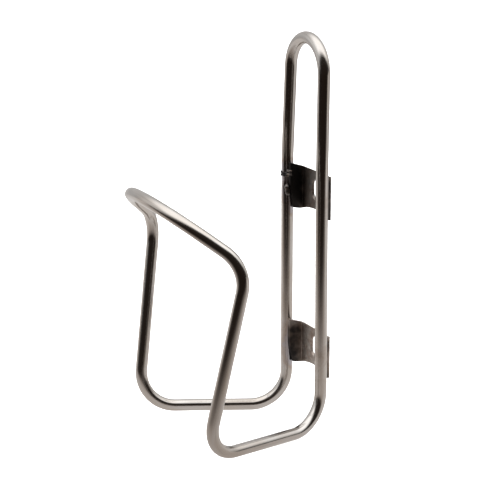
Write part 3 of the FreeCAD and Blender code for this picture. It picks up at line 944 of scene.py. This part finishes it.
def level_plane(name, height, material):
    """A large level square of the stage."""
    half = FLOOR_HALF_SIZE
    mesh = bpy.data.meshes.new(name)
    mesh.from_pydata([(-half, -half, height), (half, -half, height),
                      (half, half, height), (-half, half, height)], [], [(0, 1, 2, 3)])
    mesh.materials.append(material)
    piece = bpy.data.objects.new(name, mesh)
    bpy.context.scene.collection.objects.link(piece)
    return piece


def floor_paint(stage):
    """Matt pale paint without any gloss."""
    material = bpy.data.materials.new("pale_floor_paint")
    material.use_nodes = True
    shader = material.node_tree.nodes["Principled BSDF"]
    shader.inputs["Base Color"].default_value = opaque(stage.floor_colour)
    shader.inputs["Roughness"].default_value = 0.9
    shader.inputs["Specular IOR Level"].default_value = 0.0
    return material


def toward_camera(stage):
    """Level direction from the cage towards the camera."""
    return Vector((math.sin(stage.azimuth), -math.cos(stage.azimuth), 0.0))


def bounce_card_paint(stage):
    """What the metal mirrors of the floor: pale behind the cage, dark board in front."""
    material = bpy.data.materials.new("bounce_card_paint")
    material.use_nodes = True
    material.node_tree.nodes.clear()
    bench = NodeBench(material.node_tree)
    place = bench.add("ShaderNodeTexCoord").outputs["Object"]
    across_board = Matrix.Rotation(CARD_BOARD_TURN, 3, "Z") @ toward_camera(stage)
    forward = bench.vector("DOT_PRODUCT", place, across_board)
    pale = bench.blend(bench.ramp(forward, *CARD_PALE_EDGE), CARD_FAR, CARD_NEAR)
    colour = bench.blend(bench.ramp(forward, *CARD_DARK_EDGE), pale, BOARD_GLOW)
    colour = bench.blend(bench.ramp(forward, *CARD_WARM_EDGE, end=0.35), colour, CARD_WARMTH,
                         "MULTIPLY")
    glow = bench.add("ShaderNodeEmission", {"Color": colour, "Strength": 1.0})
    bench.add("ShaderNodeOutputMaterial", {"Surface": glow.outputs[0]})
    return material


def studio_world(stage):
    """White to the camera; to the metal a pale sky with a dark board low in front."""
    world = bpy.data.worlds.new("studio_surround")
    world.use_nodes = True
    world.node_tree.nodes.clear()
    bench = NodeBench(world.node_tree)
    ray = bench.add("ShaderNodeTexCoord").outputs["Generated"]
    height = bench.add("ShaderNodeSeparateXYZ", {0: ray}).outputs["Z"]
    middle = Matrix.Rotation(BOARD_TURN, 3, "Z") @ toward_camera(stage)
    forward = bench.vector("DOT_PRODUCT", ray, middle)
    # The board fills everything in front that lies below a plane leaning back.
    leaning = bench.math("MULTIPLY_ADD", height, BOARD_LEAN, forward)
    blocked = bench.ramp(leaning, *BOARD_EDGE)
    overhead = bench.math("MULTIPLY_ADD", forward, OVERHEAD_LEAN, height)
    sky = bench.math("ADD", bench.ramp(height, 0.0, 0.35, start=0.60, end=0.74),
                     bench.ramp(overhead, *OVERHEAD_EDGE, end=1.25))
    # The walls at both sides are a little brighter than the rest of the room.
    walls = bench.math("MULTIPLY", bench.ramp(forward, -0.70, -0.40),
                       bench.ramp(forward, -0.25, 0.05, start=1.0, end=0.0))
    walls = bench.math("MULTIPLY", walls, bench.ramp(height, 0.35, 0.60, start=0.30, end=0.0))
    sky = bench.math("ADD", sky, walls)
    bright = bench.add("ShaderNodeCombineXYZ", {"X": sky, "Y": sky, "Z": sky}).outputs[0]
    colour = bench.blend(blocked, bright, BOARD_SHADE)
    seen = bench.add("ShaderNodeLightPath").outputs["Is Camera Ray"]
    colour = bench.blend(seen, colour, WHITE)
    surround = bench.add("ShaderNodeBackground", {"Color": colour, "Strength": 1.0})
    bench.add("ShaderNodeOutputWorld", {"Surface": surround.outputs[0]})
    return world


def overhead_softbox(stage):
    """A square lamp that the metal doesn't mirror."""
    lamp = bpy.data.lights.new("overhead_softbox", "AREA")
    lamp.shape = "SQUARE"
    lamp.size = LAMP_SIZE
    lamp.energy = stage.key_power
    lamp.use_shadow = False
    light = bpy.data.objects.new("overhead_softbox", lamp)
    light.location = LAMP_PLACE
    aim = Vector(stage.target) - LAMP_PLACE
    light.rotation_euler = aim.to_track_quat("-Z", "Y").to_euler()
    light.visible_camera = False
    light.visible_glossy = False
    bpy.context.scene.collection.objects.link(light)


def studio_camera(stage):
    """A camera that looks at the target from the given direction and distance."""
    sine, cosine = math.sin(stage.azimuth), math.cos(stage.azimuth)
    rise, level = math.sin(stage.elevation), math.cos(stage.elevation)
    back = Vector((sine * level, -cosine * level, rise))
    right = Vector((cosine, sine, 0.0))
    up = back.cross(right)
    turned_right = right * math.cos(stage.roll) + up * math.sin(stage.roll)
    turned_up = up * math.cos(stage.roll) - right * math.sin(stage.roll)
    lens = bpy.data.cameras.new("studio_camera")
    lens.lens = stage.lens
    lens.sensor_width = 36.0
    lens.clip_start = 0.01
    lens.clip_end = 50.0
    camera = bpy.data.objects.new("studio_camera", lens)
    place = Matrix.Translation(Vector(stage.target) + back * stage.distance)
    turn = Matrix((turned_right, turned_up, back)).transposed().to_4x4()
    camera.matrix_world = place @ turn
    bpy.context.scene.collection.objects.link(camera)
    return camera


class CAGE_OT_stage(bpy.types.Operator):
    """Set the pale floor, the soft studio light and the camera"""
    bl_idname = "cage.stage"
    bl_label = "Set the Stage"

    def execute(self, context):
        scene = context.scene
        stage = scene.cage_stage
        floor_height = CAD_BOX[0][2] - FLOOR_GAP

        # The metal mirrors the card under the floor instead of the floor itself.
        floor = level_plane("floor", floor_height, floor_paint(stage))
        floor.visible_glossy = False
        card = level_plane("bounce_card", floor_height - CARD_GAP, bounce_card_paint(stage))
        card.visible_camera = False
        card.visible_diffuse = False
        card.visible_shadow = False

        scene.world = studio_world(stage)
        scene.view_settings.view_transform = "Standard"
        overhead_softbox(stage)
        scene.camera = studio_camera(stage)
        return {"FINISHED"}


# --------------------------------------------------------------------- panel

OPERATORS = (
    CAGE_OT_tube, CAGE_OT_brackets, CAGE_OT_rear_welds, CAGE_OT_front_weld,
    CAGE_OT_joint_weld, CAGE_OT_stage,
)


class CAGE_PT_panel(bpy.types.Panel):
    """Sizes, colours and build steps of the water bottle cage"""
    bl_idname = "CAGE_PT_panel"
    bl_label = "Water Bottle Cage"
    bl_space_type = "VIEW_3D"
    bl_region_type = "UI"
    bl_category = "Bottle Cage"

    def draw(self, context):
        for group, settings in SETTINGS.items():
            column = self.layout.box().column(align=True)
            for name in settings.__annotations__:
                column.prop(getattr(context.scene, group), name)
        column = self.layout.column(align=True)
        for operator in OPERATORS:
            column.operator(operator.bl_idname)


CLASSES = tuple(SETTINGS.values()) + OPERATORS + (CAGE_PT_panel,)


def register():
    for item in CLASSES:
        bpy.utils.register_class(item)
    for name, settings in SETTINGS.items():
        setattr(bpy.types.Scene, name, PointerProperty(type=settings))


def unregister():
    for name in SETTINGS:
        delattr(bpy.types.Scene, name)
    for item in reversed(CLASSES):
        bpy.utils.unregister_class(item)


def main():
    register()
    bpy.ops.cage.tube()
    bpy.ops.cage.brackets()
    bpy.ops.cage.rear_welds()
    bpy.ops.cage.front_weld()
    bpy.ops.cage.joint_weld()
    bpy.ops.cage.stage()


if __name__ == "__main__":
    main()
